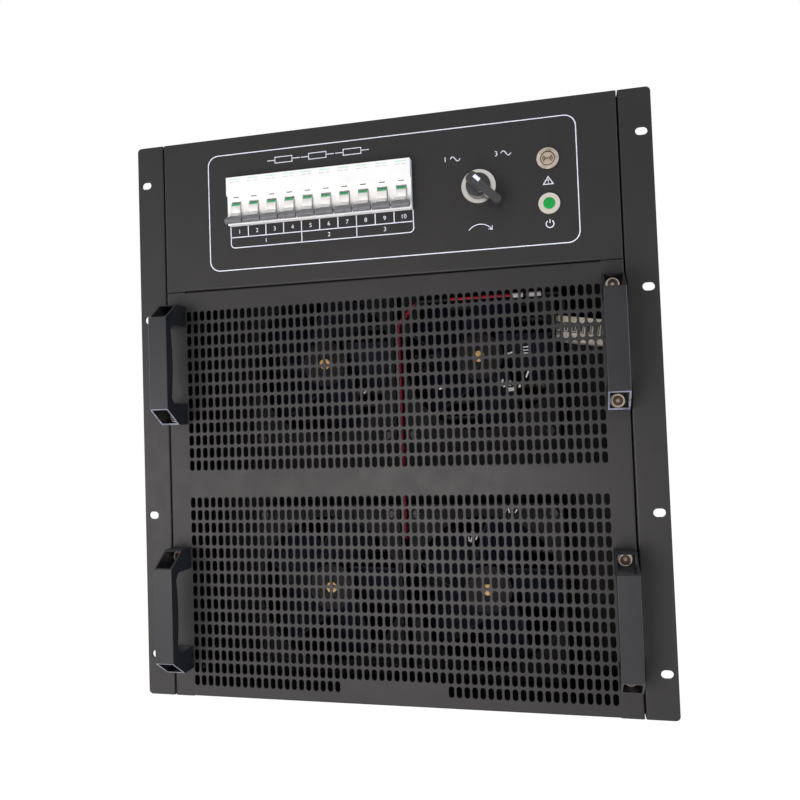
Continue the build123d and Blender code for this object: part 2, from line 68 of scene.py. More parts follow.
# ------------------------------------------------------------------ materials
class Mat:
    """A Principled material with a few procedural helpers."""

    def __init__(self, name, rough=0.5, metal=0.0, spec=0.5):
        self.m = bpy.data.materials.new(name)
        self.m.use_nodes = True
        self.nodes = self.m.node_tree.nodes
        self.links = self.m.node_tree.links
        self.bsdf = self.nodes["Principled BSDF"]
        self.bsdf.inputs["Roughness"].default_value = rough
        self.bsdf.inputs["Metallic"].default_value = metal
        self.bsdf.inputs["Specular IOR Level"].default_value = spec
        self.coord = self.nodes.new("ShaderNodeTexCoord").outputs["Object"]

    def stretched(self, scale):
        node = self.nodes.new("ShaderNodeMapping")
        node.inputs["Scale"].default_value = scale
        self.links.new(self.coord, node.inputs["Vector"])
        return node.outputs["Vector"]

    def noise(self, scale, detail=3.0, rough=0.55, stretch=None):
        node = self.nodes.new("ShaderNodeTexNoise")
        node.inputs["Scale"].default_value = scale
        node.inputs["Detail"].default_value = detail
        node.inputs["Roughness"].default_value = rough
        self.links.new(self.stretched(stretch) if stretch else self.coord, node.inputs["Vector"])
        return node.outputs["Fac"]

    def cells(self, scale):
        node = self.nodes.new("ShaderNodeTexVoronoi")
        node.inputs["Scale"].default_value = scale
        self.links.new(self.coord, node.inputs["Vector"])
        return node.outputs["Distance"]

    def ramp(self, fac, stops):
        node = self.nodes.new("ShaderNodeValToRGB")
        elements = node.color_ramp.elements
        elements[0].position, elements[0].color = stops[0][0], (*stops[0][1], 1)
        elements[1].position, elements[1].color = stops[-1][0], (*stops[-1][1], 1)
        for place, color in stops[1:-1]:
            elements.new(place).color = (*color, 1)
        self.links.new(fac, node.inputs["Fac"])
        return node.outputs["Color"]

    def math(self, kind, a, b=None):
        node = self.nodes.new("ShaderNodeMath")
        node.operation = kind
        for socket, value in zip(node.inputs, (a, b)):
            if value is None:
                continue
            if isinstance(value, (int, float)):
                socket.default_value = value
            else:
                self.links.new(value, socket)
        return node.outputs[0]

    def average(self, a, b, share):
        """a and b mixed, with the given share of a."""
        return self.math("ADD", self.math("MULTIPLY", a, share), self.math("MULTIPLY", b, 1 - share))

    def span(self, fac, low, high, out_low, out_high):
        node = self.nodes.new("ShaderNodeMapRange")
        for key, value in (("From Min", low), ("From Max", high),
                           ("To Min", out_low), ("To Max", out_high)):
            node.inputs[key].default_value = value
        self.links.new(fac, node.inputs["Value"])
        return node.outputs["Result"]

    def mix(self, fac, a, b):
        node = self.nodes.new("ShaderNodeMix")
        node.data_type = "RGBA"
        self.links.new(fac, node.inputs["Factor"])
        for socket, value in ((node.inputs[6], a), (node.inputs[7], b)):
            if isinstance(value, tuple):
                socket.default_value = (*value, 1)
            else:
                self.links.new(value, socket)
        return node.outputs[2]

    def axis(self, which, shift=0.0):
        node = self.nodes.new("ShaderNodeSeparateXYZ")
        self.links.new(self.coord, node.inputs["Vector"])
        return self.math("SUBTRACT", node.outputs[which], shift)

    def color(self, socket):
        self.links.new(socket, self.bsdf.inputs["Base Color"])
        return self

    def rough(self, socket):
        self.links.new(socket, self.bsdf.inputs["Roughness"])
        return self

    def painted_edge_highlight(self, highlight_tone):
        """Painted highlight: a pale colour on cut edges that look down and outward, broken up by noise."""
        normal = self.nodes.new("ShaderNodeNewGeometry").outputs["True Normal"]
        parts = self.nodes.new("ShaderNodeSeparateXYZ")
        self.links.new(normal, parts.inputs["Vector"])
        low = self.span(self.math("MULTIPLY", parts.outputs["Z"], -1.0), 0.25, 0.45, 0.0, 1.0)
        out = self.span(self.math("MULTIPLY", parts.outputs["Y"], -1.0), 0.20, 0.40, 0.0, 1.0)
        # noise that breaks up the painted highlight
        patchy = self.span(self.noise(160, 3), 0.35, 0.6, 0.45, 1.0)
        share = self.math("MULTIPLY", self.math("MULTIPLY", low, out), patchy)
        paint = self.bsdf.inputs["Base Color"].links[0].from_socket
        return self.color(self.mix(share, paint, highlight_tone))

    def bump(self, height, strength, depth):
        node = self.nodes.new("ShaderNodeBump")
        node.inputs["Strength"].default_value = strength
        node.inputs["Distance"].default_value = depth
        self.links.new(height, node.inputs["Height"])
        self.links.new(node.outputs["Normal"], self.bsdf.inputs["Normal"])
        return self


def powder_coat(name, dark, light, rough=0.46, spec=0.34):
    """Satin powder coat: a cloudy tone and fine orange peel."""
    m = Mat(name, rough, spec=spec)
    cloud, fine = m.noise(5.5, 4, 0.6), m.noise(900, 2, 0.6)
    m.color(m.ramp(m.average(cloud, fine, 0.8), [(0.32, dark), (0.68, light)]))
    m.rough(m.span(m.noise(60, 3), 0.3, 0.7, rough - 0.05, rough + 0.08))
    return m.bump(m.noise(1400, 2, 0.5), 0.08, 0.0002)


def plastic(name, dark, light, rough=0.4, grain=1800, strength=0.1, spec=0.5):
    """Moulded plastic with a slightly uneven tone and a fine grain."""
    m = Mat(name, rough, spec=spec)
    m.color(m.ramp(m.average(m.noise(35, 3), m.noise(700, 2), 0.7), [(0.35, dark), (0.65, light)]))
    m.rough(m.span(m.noise(120, 3), 0.3, 0.7, rough - 0.06, rough + 0.1))
    return m.bump(m.noise(grain, 2), strength, 0.0001)


def metal(name, dark, light, rough=0.32, stretch=(1, 1, 30)):
    """Metal with fine brush marks drawn out along one axis."""
    m = Mat(name, rough, 1.0)
    brush = m.noise(120, 4, 0.6, stretch)
    m.color(m.ramp(m.average(brush, m.noise(40, 3), 0.6), [(0.3, dark), (0.7, light)]))
    m.rough(m.span(brush, 0.3, 0.7, rough - 0.08, rough + 0.12))
    return m.bump(brush, 0.08, 0.0001)


PAINT = powder_coat("charcoal_powder_coat", (0.0080, 0.0072, 0.0072), (0.0130, 0.0118, 0.0118))
HANDLE_TONES = (0.0068, 0.0070, 0.0092), (0.0110, 0.0114, 0.0142)
# coat for the lower right handle, without the painted edge highlight
HANDLE_PLAIN = powder_coat("handle_powder_coat_whole", (0.0072, 0.0074, 0.0096), (0.0116, 0.0120, 0.0148), 0.40)
HANDLE_EDGE_HIGHLIT = powder_coat("handle_powder_coat", *HANDLE_TONES, 0.40)
# painted highlight: a pale bluish colour on the handles' cut edges that look down and outward
HANDLE_EDGE_HIGHLIT.painted_edge_highlight((0.21, 0.222, 0.28))
FAN_PAINT = powder_coat("fan_frame_black", (0.004, 0.004, 0.0045), (0.008, 0.008, 0.009), 0.55, 0.15)
PLATE_PAINT = powder_coat("fan_plate_grey", (0.007, 0.007, 0.0068), (0.013, 0.0128, 0.0125), 0.6, 0.15)
BUZZER_RIM = metal("buzzer_rim_metal", (0.16, 0.12, 0.09), (0.74, 0.66, 0.57), 0.30, (1.5, 1, 1.5))
WHITE = plastic("breaker_white_shell", (0.765, 0.765, 0.75), (0.815, 0.815, 0.80), 0.38)
KNOB = plastic("knob_dark_moulding", (0.018, 0.018, 0.019), (0.032, 0.032, 0.034), 0.24)
BLACK = plastic("black_moulding", (0.012, 0.012, 0.012), (0.025, 0.025, 0.026), 0.45)
GREY = plastic("contactor_moulding", (0.10, 0.10, 0.10), (0.16, 0.16, 0.155), 0.5)
CREAM = plastic("terminal_cream_moulding", (0.78, 0.70, 0.58), (0.90, 0.84, 0.74), 0.45)
TIE = plastic("white_nylon", (0.84, 0.84, 0.82), (0.93, 0.93, 0.91), 0.4)
BLADE = plastic("fan_blade_moulding", (0.004, 0.005, 0.009), (0.011, 0.013, 0.024), 0.45, spec=0.15)
HUB = plastic("fan_hub_label", (0.012, 0.0115, 0.011), (0.020, 0.019, 0.018), 0.55, spec=0.15)
GOLD_CAP = plastic("gold_bearing_cap", (0.80, 0.42, 0.12), (0.95, 0.62, 0.25), 0.35, 700, 0.3)
INK = plastic("white_screen_print", (0.66, 0.68, 0.78), (0.76, 0.78, 0.86), 0.6, 900, 0.05)
GREY_INK = plastic("grey_marking", (0.45, 0.45, 0.44), (0.56, 0.56, 0.55), 0.6)
DARK_INK = plastic("dark_marking", (0.05, 0.05, 0.05), (0.09, 0.09, 0.09), 0.6)
GREEN_INK = plastic("green_marking", (0.42, 0.68, 0.52), (0.52, 0.76, 0.60), 0.5)
BRONZE_INK = plastic("bronze_marking", (0.030, 0.020, 0.014), (0.055, 0.04, 0.028), 0.6, spec=0.1)
SATIN = metal("satin_ring_metal", (0.46, 0.44, 0.41), (0.62, 0.59, 0.56), 0.24)
PALE = metal("lamp_ring_metal", (0.46, 0.43, 0.39), (0.56, 0.53, 0.48), 0.5)
# dark metal used only as painted shade in the buzzer's gap
GAP_SHADE_METAL = metal("buzzer_ring_shade_metal", (0.05, 0.04, 0.03), (0.10, 0.08, 0.06), 0.5)
BEIGE = metal("buzzer_beige_metal", (0.34, 0.28, 0.22), (0.50, 0.42, 0.34), 0.36)
ZINC = metal("zinc_plated_steel", (0.50, 0.50, 0.48), (0.66, 0.66, 0.62), 0.38)
WASHER = metal("warm_nickel_washer", (0.66, 0.59, 0.50), (0.84, 0.77, 0.67), 0.40)
HEAT = metal("heater_sheath", (0.20, 0.17, 0.14), (0.34, 0.31, 0.28), 0.45, (1, 20, 20))
BRASS = metal("brass_turned", (0.66, 0.48, 0.20), (0.85, 0.68, 0.36), 0.3)


def socket_screw_material():
    """Warm nickel rim, dark oxide round the hex socket that also stands as painted shade down it, and a painted
    highlight on the socket floor.
    """
    m = Mat("nickel_socket_screw", 0.3, 1.0)
    lo, hi = (Vector(v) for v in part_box("handle_screws"))
    handle_lo, handle_hi = (Vector(v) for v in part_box("handle_upper_left"))
    head = 5 * MM                                     # radius of a head
    column, top, middle = hi.x - head, hi.z - head, (hi.z + lo.z) / 2
    second = handle_lo.z + handle_hi.z - top          # the other screw of the upper handle
    outer, inner = top - middle, second - middle      # the same heights lie below the middle
    z = m.math("ABSOLUTE", m.axis("Z", middle))
    z = m.math("ABSOLUTE", m.math("SUBTRACT", z, (outer + inner) / 2))
    z = m.math("SUBTRACT", z, (outer - inner) / 2)
    x = m.math("SUBTRACT", m.math("ABSOLUTE", m.axis("X", 0.0)), column)
    reach = m.math("SQRT", m.math("ADD", m.math("MULTIPLY", x, x), m.math("MULTIPLY", z, z)))
    brush = m.noise(260, 3)
    rim = m.ramp(brush, [(0.3, (0.62, 0.55, 0.46)), (0.7, (0.80, 0.73, 0.63))])
    # dark oxide on the head, which is also painted shade down the socket
    oxide_and_shade = m.ramp(brush, [(0.3, (0.06, 0.04, 0.03)), (0.7, (0.11, 0.08, 0.06))])
    # painted highlight on the socket floor
    socket_floor_highlight = m.ramp(brush, [(0.3, (0.30, 0.24, 0.20)), (0.7, (0.42, 0.35, 0.29))])
    core = m.mix(m.span(reach, 1.2 * MM, 1.9 * MM, 0.0, 1.0), socket_floor_highlight, oxide_and_shade)
    m.color(m.mix(m.span(reach, 4.2 * MM, 4.6 * MM, 0.0, 1.0), core, rim))
    m.rough(m.span(brush, 0.3, 0.7, 0.26, 0.42))
    return m.bump(brush, 0.1, 0.0001)


SOCKET_SCREW = socket_screw_material()


def lens_material():
    m = Mat("green_lamp_lens", 0.5, spec=0.2)
    ribs = m.cells(900)
    m.color(m.ramp(ribs, [(0.0, (0.007, 0.245, 0.040)), (0.8, (0.011, 0.30, 0.057))]))
    return m.bump(ribs, 0.12, 0.0002)


LENS = lens_material()


def wire_material():
    """Twisted red trunk, near black as painted shade behind the panel's strip, a thin red lead and two white
    sleeves.
    """
    m = Mat("wire_sleeving", 0.45, spec=0.3)
    lo, hi = (Vector(v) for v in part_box("wire_harness"))
    x, z = m.axis("X", lo.x), m.axis("Z", hi.z - 2.4 * MM)
    lay = 2200.0                                       # radians per metre of the twist
    twist = m.math("SINE", m.math("MULTIPLY", m.math("ADD", z, m.math("MULTIPLY", x, 0.8)), lay))
    red = m.ramp(m.math("ADD", m.math("MULTIPLY", twist, 0.3), 0.5),
                 [(0.25, (0.11, 0.006, 0.014)), (0.7, (0.42, 0.015, 0.038))])

    def zone(start, end):
        """1 between two places, in mm right of the trunk's left side."""
        past, short = m.math("GREATER_THAN", x, start * MM), m.math("LESS_THAN", x, end * MM)
        return m.math("MULTIPLY", past, short)

    thin = m.math("LESS_THAN", m.math("ABSOLUTE", z), 1.3 * MM)
    sleeved = m.math("ADD", zone(114.2, 125.5), zone(130.5, 142.6))
    # painted shade: the trunk is near black from 20 mm on, behind the panel's strip
    tone = m.mix(zone(20.0, 400.0), red, (0.010, 0.009, 0.010))
    tone = m.mix(m.math("MULTIPLY", zone(54.0, 113.2), thin), tone, (0.46, 0.014, 0.04))
    return m.color(m.mix(sleeved, tone, (0.80, 0.80, 0.80)))


WIRE = wire_material()


def toggle_material(name, joint, x_mid):
    """White neck and barrel, dark bar past the neck, and a green flag on the barrel."""
    m = Mat(name, 0.4)
    pivot = joint["pos_m"]
    y, z, x = m.axis("Y", pivot[1]), m.axis("Z", pivot[2]), m.axis("X", x_mid)
    reach = m.math("SQRT", m.math("ADD", m.math("MULTIPLY", y, y), m.math("MULTIPLY", z, z)))
    bar = m.math("GREATER_THAN", reach, 0.0128)
    wide = m.math("LESS_THAN", m.math("ABSOLUTE", x), 0.0044)
    band = m.math("MULTIPLY", m.math("GREATER_THAN", z, 0.0036), m.math("LESS_THAN", z, 0.0068))
    front = m.math("MULTIPLY", m.math("LESS_THAN", y, 0.0), m.math("GREATER_THAN", reach, 0.0068))
    flag = m.math("MULTIPLY", m.math("MULTIPLY", wide, band), front)
    neck = m.ramp(m.noise(160, 3), [(0.3, (0.62, 0.61, 0.58)), (0.7, (0.72, 0.71, 0.68))])
    dark = m.ramp(m.noise(220, 3), [(0.3, (0.085, 0.085, 0.092)), (0.7, (0.13, 0.13, 0.138))])
    m.color(m.mix(bar, m.mix(flag, neck, (0.012, 0.36, 0.12)), dark))
    return m.bump(m.noise(1500, 2), 0.1, 0.0001)


def dress(node, mat, bevel=None):
    """Gives a CAD node its material and, where asked, small rounded edges of a width in mm."""
    obj = NODES[node]
    for slot in obj.material_slots:
        slot.material = mat.m
    if bevel:
        mod = obj.modifiers.new("edges", "BEVEL")
        mod.width, mod.segments, mod.limit_method = bevel * MM, 2, "ANGLE"
        mod.angle_limit = math.radians(40)


# ------------------------------------------------------------------ mesh helpers
def piece(name, verts, faces, mat, body="chassis"):
    mesh = bpy.data.meshes.new(name)
    mesh.from_pydata([tuple(v) for v in verts], [], faces)
    mesh.validate()
    mesh.materials.append(mat.m)
    obj = bpy.data.objects.new(name, mesh)
    bpy.context.scene.collection.objects.link(obj)
    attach(obj, body)
    return obj


class Build:
    """Collects faces of many small solids into one mesh."""

    def __init__(self):
        self.verts, self.faces = [], []

    def add(self, verts, faces):
        base = len(self.verts)
        self.verts += [Vector(v) for v in verts]
        self.faces += [tuple(base + i for i in f) for f in faces]

    def loft(self, rings, closed=True, caps=True):
        n, base = len(rings[0]), len(self.verts)
        for ring in rings:
            self.verts += [Vector(v) for v in ring]
        for r in range(len(rings) - 1):
            for i in range(n if closed else n - 1):
                j = (i + 1) % n
                a, b = base + r * n, base + (r + 1) * n
                self.faces.append((a + i, a + j, b + j, b + i))
        if caps:
            self.faces.append(tuple(base + i for i in reversed(range(n))))
            self.faces.append(tuple(base + (len(rings) - 1) * n + i for i in range(n)))

    def prism(self, outline, axis, low, high):
        """outline is a list of (u, v); axis 'x', 'y' or 'z' is the direction it is pushed along."""
        place = {"x": lambda u, v, w: (w, u, v), "y": lambda u, v, w: (u, w, v),
                 "z": lambda u, v, w: (u, v, w)}[axis]
        self.loft([[place(u, v, w) for u, v in outline] for w in (low, high)])

    def bar(self, x, z, w, h, y):
        """A flat oblong mark facing -Y, centred on (x, z) at depth y."""
        self.add([(x + i * w / 2, y, z + j * h / 2) for i, j in ((-1, -1), (1, -1), (1, 1), (-1, 1))],
                 [(0, 1, 2, 3)])

    def disc(self, x, z, r, y0, y1, n=48, edge=0.0):
        """A turned disc facing -Y, with a small rounded front edge."""
        steps = [(r, y1), (r, y0 + edge)]
        if edge:
            steps += [(r - edge * (1 - math.cos(a)), y0 + edge * (1 - math.sin(a)))
                      for a in (math.pi / 6, math.pi / 3, math.pi / 2)]
        else:
            steps += [(r, y0)]
        rings = []
        for rad, y in steps:
            rings.append([(x + rad * math.cos(t), y, z + rad * math.sin(t))
                          for t in (2 * math.pi * k / n for k in range(n))])
        self.loft(rings)

    def done(self, name, mat, body="chassis"):
        return piece(name, self.verts, self.faces, mat, body)


def arc_points(cx, cy, r, a0, a1, n):
    return [(cx + r * math.cos(a), cy + r * math.sin(a))
            for a in (math.radians(a0 + (a1 - a0) * k / n) for k in range(n + 1))]


def ribbon(build, path, width, y, closed=False):
    """A flat printed line of the given width along a path of (x, z), lying at depth y."""
    pts = [Vector((p[0], p[1])) for p in path]
    n = len(pts)
    left, right = [], []
    for i, p in enumerate(pts):
        before = pts[i - 1] if (closed or i > 0) else p
        after = pts[(i + 1) % n] if (closed or i < n - 1) else p
        a, b = (p - before), (after - p)
        a = a.normalized() if a.length > 1e-9 else b.normalized()
        b = b.normalized() if b.length > 1e-9 else a
        mid = (a + b).normalized()
        side = Vector((-mid.y, mid.x))
        reach = width / 2 / max(0.35, side.dot(Vector((-a.y, a.x))))
        left.append((p.x + side.x * reach, y, p.y + side.y * reach))
        right.append((p.x - side.x * reach, y, p.y - side.y * reach))
    base = len(build.verts)
    build.verts += [Vector(v) for v in left + right]
    for i in range(n if closed else n - 1):
        j = (i + 1) % n
        build.faces.append((base + i, base + j, base + n + j, base + n + i))


def printed_text(name, words, x, z, size, mat, y):
    """Generic numbers or signs as a flat printed mesh, centred on (x, z)."""
    curve = bpy.data.curves.new(name, "FONT")
    curve.body, curve.size = words, size
    curve.align_x, curve.align_y = "CENTER", "CENTER"
    temp = bpy.data.objects.new(name + "_text", curve)
    bpy.context.scene.collection.objects.link(temp)
    bpy.context.view_layer.update()
    mesh = bpy.data.meshes.new_from_object(temp.evaluated_get(bpy.context.evaluated_depsgraph_get()))
    bpy.data.objects.remove(temp)
    mesh.transform(Matrix.Translation((x, y, z)) @ Matrix.Rotation(math.pi / 2, 4, "X"))
    mesh.materials.clear()
    mesh.materials.append(mat.m)
    obj = bpy.data.objects.new(name, mesh)
    bpy.context.scene.collection.objects.link(obj)
    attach(obj, "chassis")
    return obj


# ------------------------------------------------------------------ grille panel with its short slots
COLS, PITCH, SLOT_W, SLOT_H, ROW = 56, 6.94 * MM, 4.7 * MM, 9.8 * MM, 12.0 * MM
FIELDS = [(down(170.2), 13), (down(349.7), 15)]
BARE = 14
SHEET, RETURN, BEND = 2.0 * MM, 14.0 * MM, 1.6 * MM
CHAMFER = 0.3 * MM


def slot_ring(grow, n=6):
    r = SLOT_W / 2 + grow
    straight = SLOT_H / 2 - SLOT_W / 2
    return arc_points(0, straight, r, 0, 180, n) + arc_points(0, -straight, r, 180, 360, n)


def cell_ring():
    w, h, s = PITCH / 2, ROW / 2, SLOT_H / 2 - SLOT_W / 2
    top = [(w, s), (w, h), (w / 2, h), (0, h), (-w / 2, h), (-w, h), (-w, s)]
    return top + [(-x, -z) for x, z in top]


def grille():
    b = Build()
    rings = [(cell_ring(), 0), (slot_ring(CHAMFER), 0), (slot_ring(CHAMFER * 0.3), CHAMFER * 0.3),
             (slot_ring(0), CHAMFER), (slot_ring(0), SHEET), (cell_ring(), SHEET)]
    x0 = -(COLS - 1) / 2 * PITCH
    for z_top, rows in FIELDS:
        for r in range(rows):
            last = rows == 15 and r == rows - 1
            for c in range(COLS):
                x, z = x0 + c * PITCH, z_top - r * ROW
                if last and abs(c - (COLS - 1) / 2) < BARE / 2:
                    for y in (0, SHEET):
                        b.bar(x, z, PITCH, ROW, FACE_Y + y)
                    continue
                b.loft([[(x + u, FACE_Y + y, z + v) for u, v in ring] for ring, y in rings], caps=False)
    field = COLS / 2 * PITCH
    edge = PANEL_HI.x
    # folded sides, pushed along z
    for s in (-1, 1):
        bend = [(s * u, v) for u, v in arc_points(edge - BEND, BEND, BEND, -90, 0, 5)]
        outline = [(s * field, 0)] + bend + [(s * edge, RETURN), (s * (edge - SHEET), RETURN),
                                            (s * (edge - SHEET), SHEET), (s * field, SHEET)]
        b.prism([(u, FACE_Y + v) for u, v in outline], "z", PANEL_LO.z, PANEL_HI.z)
    # top and bottom strips with their returns, pushed along x
    (up_z, up_rows), (lo_z, lo_rows) = FIELDS
    for z_field, z_edge, s in ((up_z + ROW / 2, PANEL_HI.z, 1),
                               (lo_z - (lo_rows - 0.5) * ROW, PANEL_LO.z, -1)):
        bend = [(z_edge - s * (BEND - u), v) for u, v in arc_points(0, BEND, BEND, -90, 0, 5)]
        outline = [(z_field, 0)] + bend + [(z_edge, RETURN), (z_edge - s * SHEET, RETURN),
                                          (z_edge - s * SHEET, SHEET), (z_field, SHEET)]
        b.prism([(FACE_Y + v, u) for u, v in outline], "x", -field, field)
    mid_hi, mid_lo = up_z - (up_rows - 0.5) * ROW, lo_z + ROW / 2
    b.prism([(FACE_Y, mid_lo), (FACE_Y, mid_hi), (FACE_Y + SHEET, mid_hi), (FACE_Y + SHEET, mid_lo)],
            "x", -field, field)
    obj = b.done("grille_panel_slotted", PAINT)
    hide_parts("grille_panel")


# ------------------------------------------------------------------ printed lines and signs
INK_Y = FACE_Y - 0.06 * MM


def rounded_box(x0, x1, y0, y1, r, n=8):
    """Closed path in (x, z) from sizes in mm from the panel's top-left corner."""
    left, right, top, low = across(x0), across(x1), down(y0), down(y1)
    r *= MM
    corners = ((right - r, top - r, 90), (right - r, low + r, 0),
               (left + r, low + r, -90), (left + r, top - r, 180))
    return [p for x, z, start in corners for p in arc_points(x, z, r, start, start - 90, n)]


def printed_lines():
    b = Build()
    ribbon(b, rounded_box(75.0, 420.0, 16.4, 128.3, 10), 0.9 * MM, INK_Y, closed=True)
    # label grid under the breakers
    x0, pitch, y0, y1, y2, line = 96.9, 17.77, 86.9, 97.2, 107.2, 0.85 * MM
    x10 = x0 + 10 * pitch
    r = 4 * MM
    low = down(y2)
    outline = ([(across(x0), down(y0))] + [(across(x0), low + r)]
               + arc_points(across(x0) + r, low + r, r, 180, 270, 6)
               + arc_points(across(x10) - r, low + r, r, 270, 360, 6) + [(across(x10), down(y0))])
    ribbon(b, outline, line, INK_Y)
    ribbon(b, [(across(x0), down(y1)), (across(x10), down(y1))], line, INK_Y)
    for k in range(1, 10):
        x, foot = across(x0 + k * pitch), y2 if k in (4, 7) else y1
        ribbon(b, [(x, down(y0)), (x, down(foot))], line, INK_Y)
    b.done("printed_outline_and_grid", INK)
    for k in range(10):
        printed_text("number_%02d" % (k + 1), str(k + 1), across(x0 + (k + 0.5) * pitch), down(92.1),
                     5.6 * MM, INK, INK_Y)
    for k, mid in enumerate((x0 + 2 * pitch, x0 + 5.5 * pitch, x0 + 8.5 * pitch)):
        printed_text("group_%d" % (k + 1), str(k + 1), across(mid), down(102.3), 5.6 * MM, INK, INK_Y)


def resistor_sign(b, x, z, w, h, line):
    """The plain drawing sign for a resistor: a box on a line."""
    corners = [(x + i * w / 2, z + j * h / 2) for i, j in ((-1, 1), (1, 1), (1, -1), (-1, -1))]
    ribbon(b, corners, line, INK_Y, closed=True)
    for s in (-1, 1):
        ribbon(b, [(x + s * w / 2, z), (x + s * w * 0.95, z)], line, INK_Y)


def wave_sign(b, x, z, w, h, line):
    pts = [(x - w / 2 + w * k / 16, z + h / 2 * math.sin(2 * math.pi * k / 16)) for k in range(17)]
    ribbon(b, pts, line, INK_Y)


def printed_signs():
    b = Build()
    line = 0.7 * MM
    for k in range(3):
        resistor_sign(b, across(152.0 + 33.6 * k), down(26.7), 17 * MM, 5.6 * MM, line)
    wave_sign(b, across(314.5), down(44.4), 9 * MM, 4.2 * MM, line)
    wave_sign(b, across(359.5), down(44.0), 9 * MM, 4.2 * MM, line)
    # turning arrow under the selector
    cx, cz, r = across(334.4), down(118.5), 13 * MM
    ribbon(b, arc_points(cx, cz, r, 140, 40, 14), line, INK_Y)
    x, z = cx + r * math.cos(math.radians(36)), cz + r * math.sin(math.radians(36))
    ribbon(b, [(x - 3.0 * MM, z + 0.6 * MM), (x, z), (x + 0.2 * MM, z + 3.4 * MM)], line, INK_Y)
    # alarm triangle and its bar
    cx, cz = across(395.0), down(72.6)
    tri = [(cx - 4.2 * MM, cz - 3.0 * MM), (cx, cz + 3.6 * MM), (cx + 4.2 * MM, cz - 3.0 * MM)]
    ribbon(b, tri, 0.8 * MM, INK_Y, closed=True)
    ribbon(b, [(cx, cz + 1.4 * MM), (cx, cz - 0.8 * MM)], 0.7 * MM, INK_Y)
    ribbon(b, [(cx, cz - 1.4 * MM), (cx, cz - 2.1 * MM)], 0.7 * MM, INK_Y)
    # power sign under the lamp
    cx, cz = across(395.0), down(110.6)
    ribbon(b, arc_points(cx, cz, 3.3 * MM, 125, 415, 20), 0.8 * MM, INK_Y)
    ribbon(b, [(cx, cz + 0.6 * MM), (cx, cz + 4.2 * MM)], 0.8 * MM, INK_Y)
    b.done("printed_signs", INK)
    printed_text("selector_one", "1", across(305.5), down(44.4), 6.4 * MM, INK, INK_Y)
    printed_text("selector_three", "3", across(351.0), down(44.0), 6.4 * MM, INK, INK_Y)


# ------------------------------------------------------------------ breakers
def breakers():
    green, grey, dark = Build(), Build(), Build()
    for k in range(1, 11):
        node = "breaker_case_%02d" % k
        lo, hi = (Vector(v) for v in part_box(node))
        mid = (lo.x + hi.x) / 2
        dress(node, WHITE, 0.5)
        toggle = "breaker_toggle_%02d" % k
        joint = JOINTS["breaker_%02d_switch" % k]
        dress(toggle, toggle_material("toggle_%02d_moulding" % k, joint, mid), 0.35)
        y = lo.y - 0.05 * MM
        green.bar(mid, down(43.6), 10.5 * MM, 1.1 * MM, y)
        grey.bar(mid - 2.6 * MM, down(46.2), 5.2 * MM, 0.6 * MM, y)
        grey.bar(mid + 3.2 * MM, down(46.2), 3.6 * MM, 0.6 * MM, y)
        dark.bar(mid, down(60.4), 5.6 * MM, 1.0 * MM, y + 3 * MM)
    green.done("breaker_green_marks", GREEN_INK)
    grey.done("breaker_grey_marks", GREY_INK)
    dark.done("breaker_dark_marks", DARK_INK)


# ------------------------------------------------------------------ controls
def controls():
    dress("selector_bezel", SATIN, 0.35)
    dress("selector_knob", KNOB, 0.6)
    dress("selector_contact_block", BLACK, 0.5)
    dress("control_locknuts", ZINC)
    dress("fault_buzzer", BUZZER_RIM, 0.4)
    dress("power_lamp_bezel", PALE, 0.4)
    dress("power_lamp_lens", LENS)
    # white index block let into the upper side of the lever and head
    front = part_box("selector_knob")[0][1]
    turn = JOINTS["selector_turn"]["pos_m"]
    along, over = math.radians(135), math.radians(45)
    corners = [(turn[0] + (u * math.cos(along) + v * math.cos(over)) * MM,
                turn[2] + (u * math.sin(along) + v * math.sin(over)) * MM)
               for u, v in ((-1.4, 0.6), (5.2, 0.6), (5.2, 3.7), (-1.4, 3.7))]
    b = Build()
    b.prism(corners, "y", front - 0.1 * MM, front + 2.6 * MM)
    b.done("knob_index_bar", INK, "selector")
    # sounding disc of the buzzer: a rim, a dark disc as painted shade in the gap, and two rows of arcs
    lo, hi = (Vector(v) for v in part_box("fault_buzzer"))
    x, z = (lo.x + hi.x) / 2, (lo.z + hi.z) / 2
    s = Build()
    s.disc(x, z, 5.6 * MM, lo.y + 0.2 * MM, lo.y + 0.85 * MM, 48, 0.2 * MM)
    s.done("buzzer_disc", BEIGE)
    s = Build()
    # dark disc behind the sounding disc: painted shade in the gap
    s.disc(x, z, 6.4 * MM, lo.y + 0.76 * MM, lo.y + 0.84 * MM)
    s.done("buzzer_gap_painted_shade", GAP_SHADE_METAL)
    s = Build()
    front = lo.y + 0.15 * MM
    for side in (0, 180):
        for r in (1.6, 2.8, 4.0):
            ribbon(s, arc_points(x, z, r * MM, side - 40, side + 40, 8), 0.75 * MM, front)
    ribbon(s, arc_points(x, z, 0.4 * MM, 0, 360, 10), 0.7 * MM, front)
    s.done("buzzer_sound_sign", BRONZE_INK)


# ------------------------------------------------------------------ fans
def fans():
    dress("fan_frames", FAN_PAINT, 0.8)
    dress("fan_plate", PLATE_PAINT)
    dress("fan_screws", BLACK)
    for k in range(1, 5):
        dress("fan_impeller_%d" % k, BLADE, 0.4)
        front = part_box("fan_impeller_%d" % k)[0][1]
        x, _, z = JOINTS["fan_%d_spin" % k]["pos_m"]
        label, cap = Build(), Build()
        label.disc(x, z, 21 * MM, front - 0.6 * MM, front + 0.5 * MM, 40, 0.3 * MM)
        label.done("fan_hub_label_%d" % k, HUB, "impeller_%d" % k)
        cap.disc(x, z, 5.6 * MM, front - 2.2 * MM, front, 24, 0.8 * MM)
        cap.done("fan_hub_cap_%d" % k, GOLD_CAP, "impeller_%d" % k)


TERM_TILT, WAY, TERM_HALF_H = math.radians(9), 7 * MM, 12 * MM


